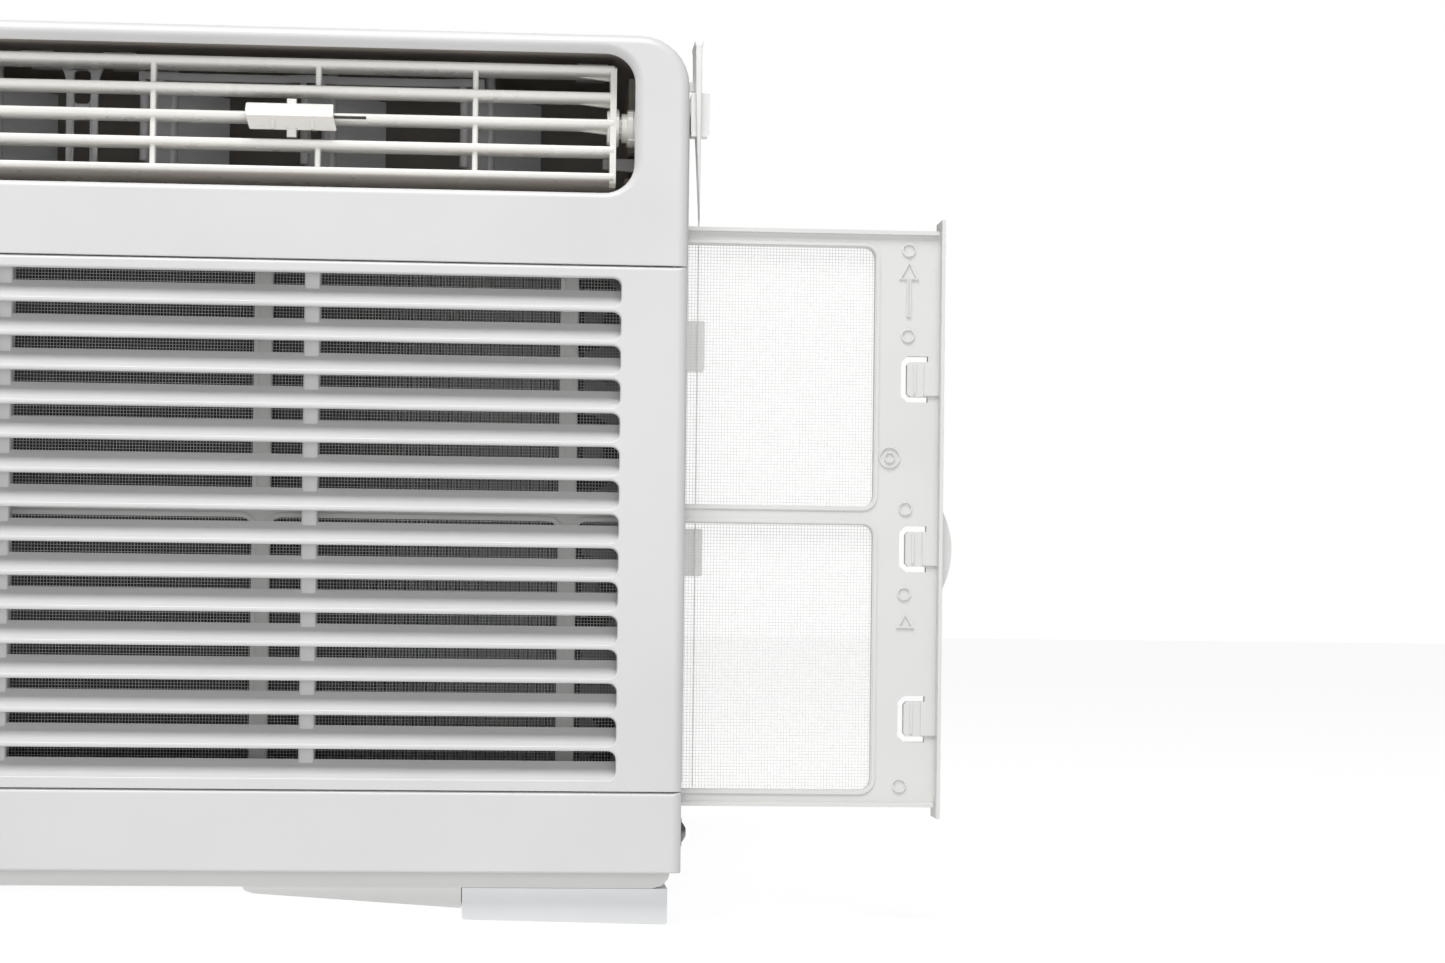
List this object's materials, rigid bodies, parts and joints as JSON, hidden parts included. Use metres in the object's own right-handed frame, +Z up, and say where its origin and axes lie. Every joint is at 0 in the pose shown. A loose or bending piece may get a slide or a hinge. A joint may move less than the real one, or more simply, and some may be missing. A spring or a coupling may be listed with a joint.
{
  "type": "window air conditioner",
  "caption": "Window air conditioner with a tilting louvred outlet, slatted intake grille, slide-out air filter, push-button controls and sliding side curtains",
  "frame": {"origin": "middle of the underside of the sill rail, where the unit rests on a window sill", "axes": "X runs across the front, to the right for someone in the room; Y runs outdoors, away from the room; Z is up"},
  "size_m": [0.5911, 0.4288, 0.3623],
  "materials": {
    "panel_plastic": "fine satin, near-neutral white moulded ABS",
    "button_plastic": "satin, slightly glossier than the panel",
    "louver_plastic": "semi-gloss warm white",
    "vane_plastic": "satin mid grey",
    "duct_plastic": "matt dark brown-grey",
    "fan_plastic": "matt grey",
    "filter_plastic": "satin white, slightly translucent",
    "filter_net": "fine woven net, pale",
    "display_glass": "smoked, polished",
    "circuit_board": "green solder mask",
    "galvanised_steel": "zinc coated, faint spangle",
    "aluminium_fins": "rolled fin stock",
    "capacitor_can": "drawn can, smooth",
    "painted_steel": "fine-textured powder coat",
    "curtain_vinyl": "flexible vinyl, faint grain",
    "curtain_frame_plastic": "extruded white PVC",
    "black_paint": "satin black enamel",
    "rubber_black": "moulded rubber",
    "copper_tube": "drawn copper, slightly dulled"
  },
  "bodies": {
    "root": {"base_pan": "painted_steel", "blower_housing": "duct_plastic", "bulkhead": "galvanised_steel", "cabinet_shell": "painted_steel", "centre_bracket": "vane_plastic", "compressor": "black_paint", "compressor_mount": "rubber_black", "condenser_coil": "aluminium_fins", "control_board": "circuit_board", "control_box": "galvanised_steel", "control_panel": "panel_plastic", "cord_gland": "rubber_black", "curtain_bellows_left": "curtain_vinyl", "curtain_bellows_right": "curtain_vinyl", "discharge_tube": "copper_tube", "display_window": "display_glass", "evaporator_coil": "aluminium_fins", "fan_motor": "galvanised_steel", "fan_shroud": "duct_plastic", "fascia_screw_left": "galvanised_steel", "fascia_screw_right": "galvanised_steel", "front_foot_left": "panel_plastic", "front_foot_right": "panel_plastic", "intake_grille": "panel_plastic", "liquid_tube": "copper_tube", "louver_bush_left": "louver_plastic", "louver_bush_right": "louver_plastic", "lower_fascia": "panel_plastic", "motor_bracket": "galvanised_steel", "outlet_duct": "duct_plastic", "rear_guard": "painted_steel", "run_capacitor": "capacitor_can", "sill_rail": "galvanised_steel", "suction_tube": "copper_tube", "top_rail": "galvanised_steel", "upper_fascia": "panel_plastic"},
    "louver": {"louver_frame": "louver_plastic"},
    "tab_right": {"slider_tab_right": "louver_plastic"},
    "tab_left": {"slider_tab_left": "louver_plastic"},
    "link_right": {"vane_link_right": "vane_plastic"},
    "link_left": {"vane_link_left": "vane_plastic"},
    "filter": {"filter_frame": "filter_plastic", "filter_mesh": "filter_net"},
    "rotor": {"fan_shaft": "galvanised_steel", "blower_wheel": "fan_plastic", "condenser_fan": "fan_plastic"},
    "curtain_right": {"curtain_frame_right": "curtain_frame_plastic"},
    "curtain_left": {"curtain_frame_left": "curtain_frame_plastic"},
    "vane_right_1": {"vane_right_1": "vane_plastic"},
    "vane_right_2": {"vane_right_2": "vane_plastic"},
    "vane_right_3": {"vane_right_3": "vane_plastic"},
    "vane_left_1": {"vane_left_1": "vane_plastic"},
    "vane_left_2": {"vane_left_2": "vane_plastic"},
    "vane_left_3": {"vane_left_3": "vane_plastic"},
    "button_temp_up": {"button_temp_up": "button_plastic"},
    "button_temp_down": {"button_temp_down": "button_plastic"},
    "button_mode": {"button_mode": "button_plastic"},
    "button_fan": {"button_fan": "button_plastic"},
    "button_power": {"button_power": "button_plastic"}
  },
  "joints": [
    {"name": "louver_tilt", "type": "hinge", "parent": "root", "child": "louver", "pos_m": [0, -0.15, 0.307], "axis": [1, 0, 0], "range_deg": [-15, 15]},
    {"name": "tab_slide_right", "type": "slide", "parent": "louver", "child": "tab_right", "axis": [1, 0, 0], "range_m": [0, 0.0198]},
    {"name": "tab_slide_left", "type": "slide", "parent": "louver", "child": "tab_left", "axis": [1, 0, 0], "range_m": [0, 0.0198]},
    {"name": "vane_turn_right_1", "type": "hinge", "parent": "root", "child": "vane_right_1", "pos_m": [0.034, -0.118, 0.29], "axis": [0, 0, 1], "range_deg": [-1, 91]},
    {"name": "vane_turn_right_2", "type": "hinge", "parent": "root", "child": "vane_right_2", "pos_m": [0.0963, -0.118, 0.29], "axis": [0, 0, 1], "range_deg": [-1, 91]},
    {"name": "vane_turn_right_3", "type": "hinge", "parent": "root", "child": "vane_right_3", "pos_m": [0.1586, -0.118, 0.29], "axis": [0, 0, 1], "range_deg": [-1, 91]},
    {"name": "link_slide_right", "type": "slide", "parent": "root", "child": "link_right", "axis": [1, 0, 0], "range_m": [-0.0002, 0.0146]},
    {"name": "vane_turn_left_1", "type": "hinge", "parent": "root", "child": "vane_left_1", "pos_m": [-0.034, -0.118, 0.29], "axis": [0, 0, 1], "range_deg": [-1, 91]},
    {"name": "vane_turn_left_2", "type": "hinge", "parent": "root", "child": "vane_left_2", "pos_m": [-0.0963, -0.118, 0.29], "axis": [0, 0, 1], "range_deg": [-1, 91]},
    {"name": "vane_turn_left_3", "type": "hinge", "parent": "root", "child": "vane_left_3", "pos_m": [-0.1586, -0.118, 0.29], "axis": [0, 0, 1], "range_deg": [-1, 91]},
    {"name": "link_slide_left", "type": "slide", "parent": "root", "child": "link_left", "axis": [1, 0, 0], "range_m": [-0.0002, 0.0146]},
    {"name": "filter_slide", "type": "slide", "parent": "root", "child": "filter", "axis": [1, 0, 0], "range_m": [-0.0988, 0.26]},
    {"name": "fan_spin", "type": "hinge", "parent": "root", "child": "rotor", "pos_m": [0.01, 0.1, 0.152], "axis": [0, 1, 0], "continuous": true},
    {"name": "curtain_slide_right", "type": "slide", "parent": "root", "child": "curtain_right", "axis": [1, 0, 0], "range_m": [0, 0.2], "deforming": ["curtain_bellows_right"]},
    {"name": "curtain_slide_left", "type": "slide", "parent": "root", "child": "curtain_left", "axis": [-1, 0, 0], "range_m": [0, 0.2], "deforming": ["curtain_bellows_left"]},
    {"name": "button_temp_up_press", "type": "slide", "parent": "root", "child": "button_temp_up", "axis": [0, 1, 0], "range_m": [0, 0.0009], "stiffness_N_per_m": 400, "springref_m": -0.0005},
    {"name": "button_temp_down_press", "type": "slide", "parent": "root", "child": "button_temp_down", "axis": [0, 1, 0], "range_m": [0, 0.0009], "stiffness_N_per_m": 400, "springref_m": -0.0005},
    {"name": "button_mode_press", "type": "slide", "parent": "root", "child": "button_mode", "axis": [0, 1, 0], "range_m": [0, 0.0009], "stiffness_N_per_m": 400, "springref_m": -0.0005},
    {"name": "button_fan_press", "type": "slide", "parent": "root", "child": "button_fan", "axis": [0, 1, 0], "range_m": [0, 0.0009], "stiffness_N_per_m": 400, "springref_m": -0.0005},
    {"name": "button_power_press", "type": "slide", "parent": "root", "child": "button_power", "axis": [0, 1, 0], "range_m": [0, 0.0009], "stiffness_N_per_m": 400, "springref_m": -0.0005}
  ],
  "couplings": [
    {"joint": "vane_turn_right_1", "follows": "tab_slide_right", "rad_per_m": 79.333},
    {"joint": "vane_turn_right_2", "follows": "tab_slide_right", "rad_per_m": 79.333},
    {"joint": "vane_turn_right_3", "follows": "tab_slide_right", "rad_per_m": 79.333},
    {"joint": "link_slide_right", "follows": "tab_slide_right", "ratio": 0.7143},
    {"joint": "vane_turn_left_1", "follows": "tab_slide_left", "rad_per_m": 79.333},
    {"joint": "vane_turn_left_2", "follows": "tab_slide_left", "rad_per_m": 79.333},
    {"joint": "vane_turn_left_3", "follows": "tab_slide_left", "rad_per_m": 79.333},
    {"joint": "link_slide_left", "follows": "tab_slide_left", "ratio": 0.7143}
  ]
}
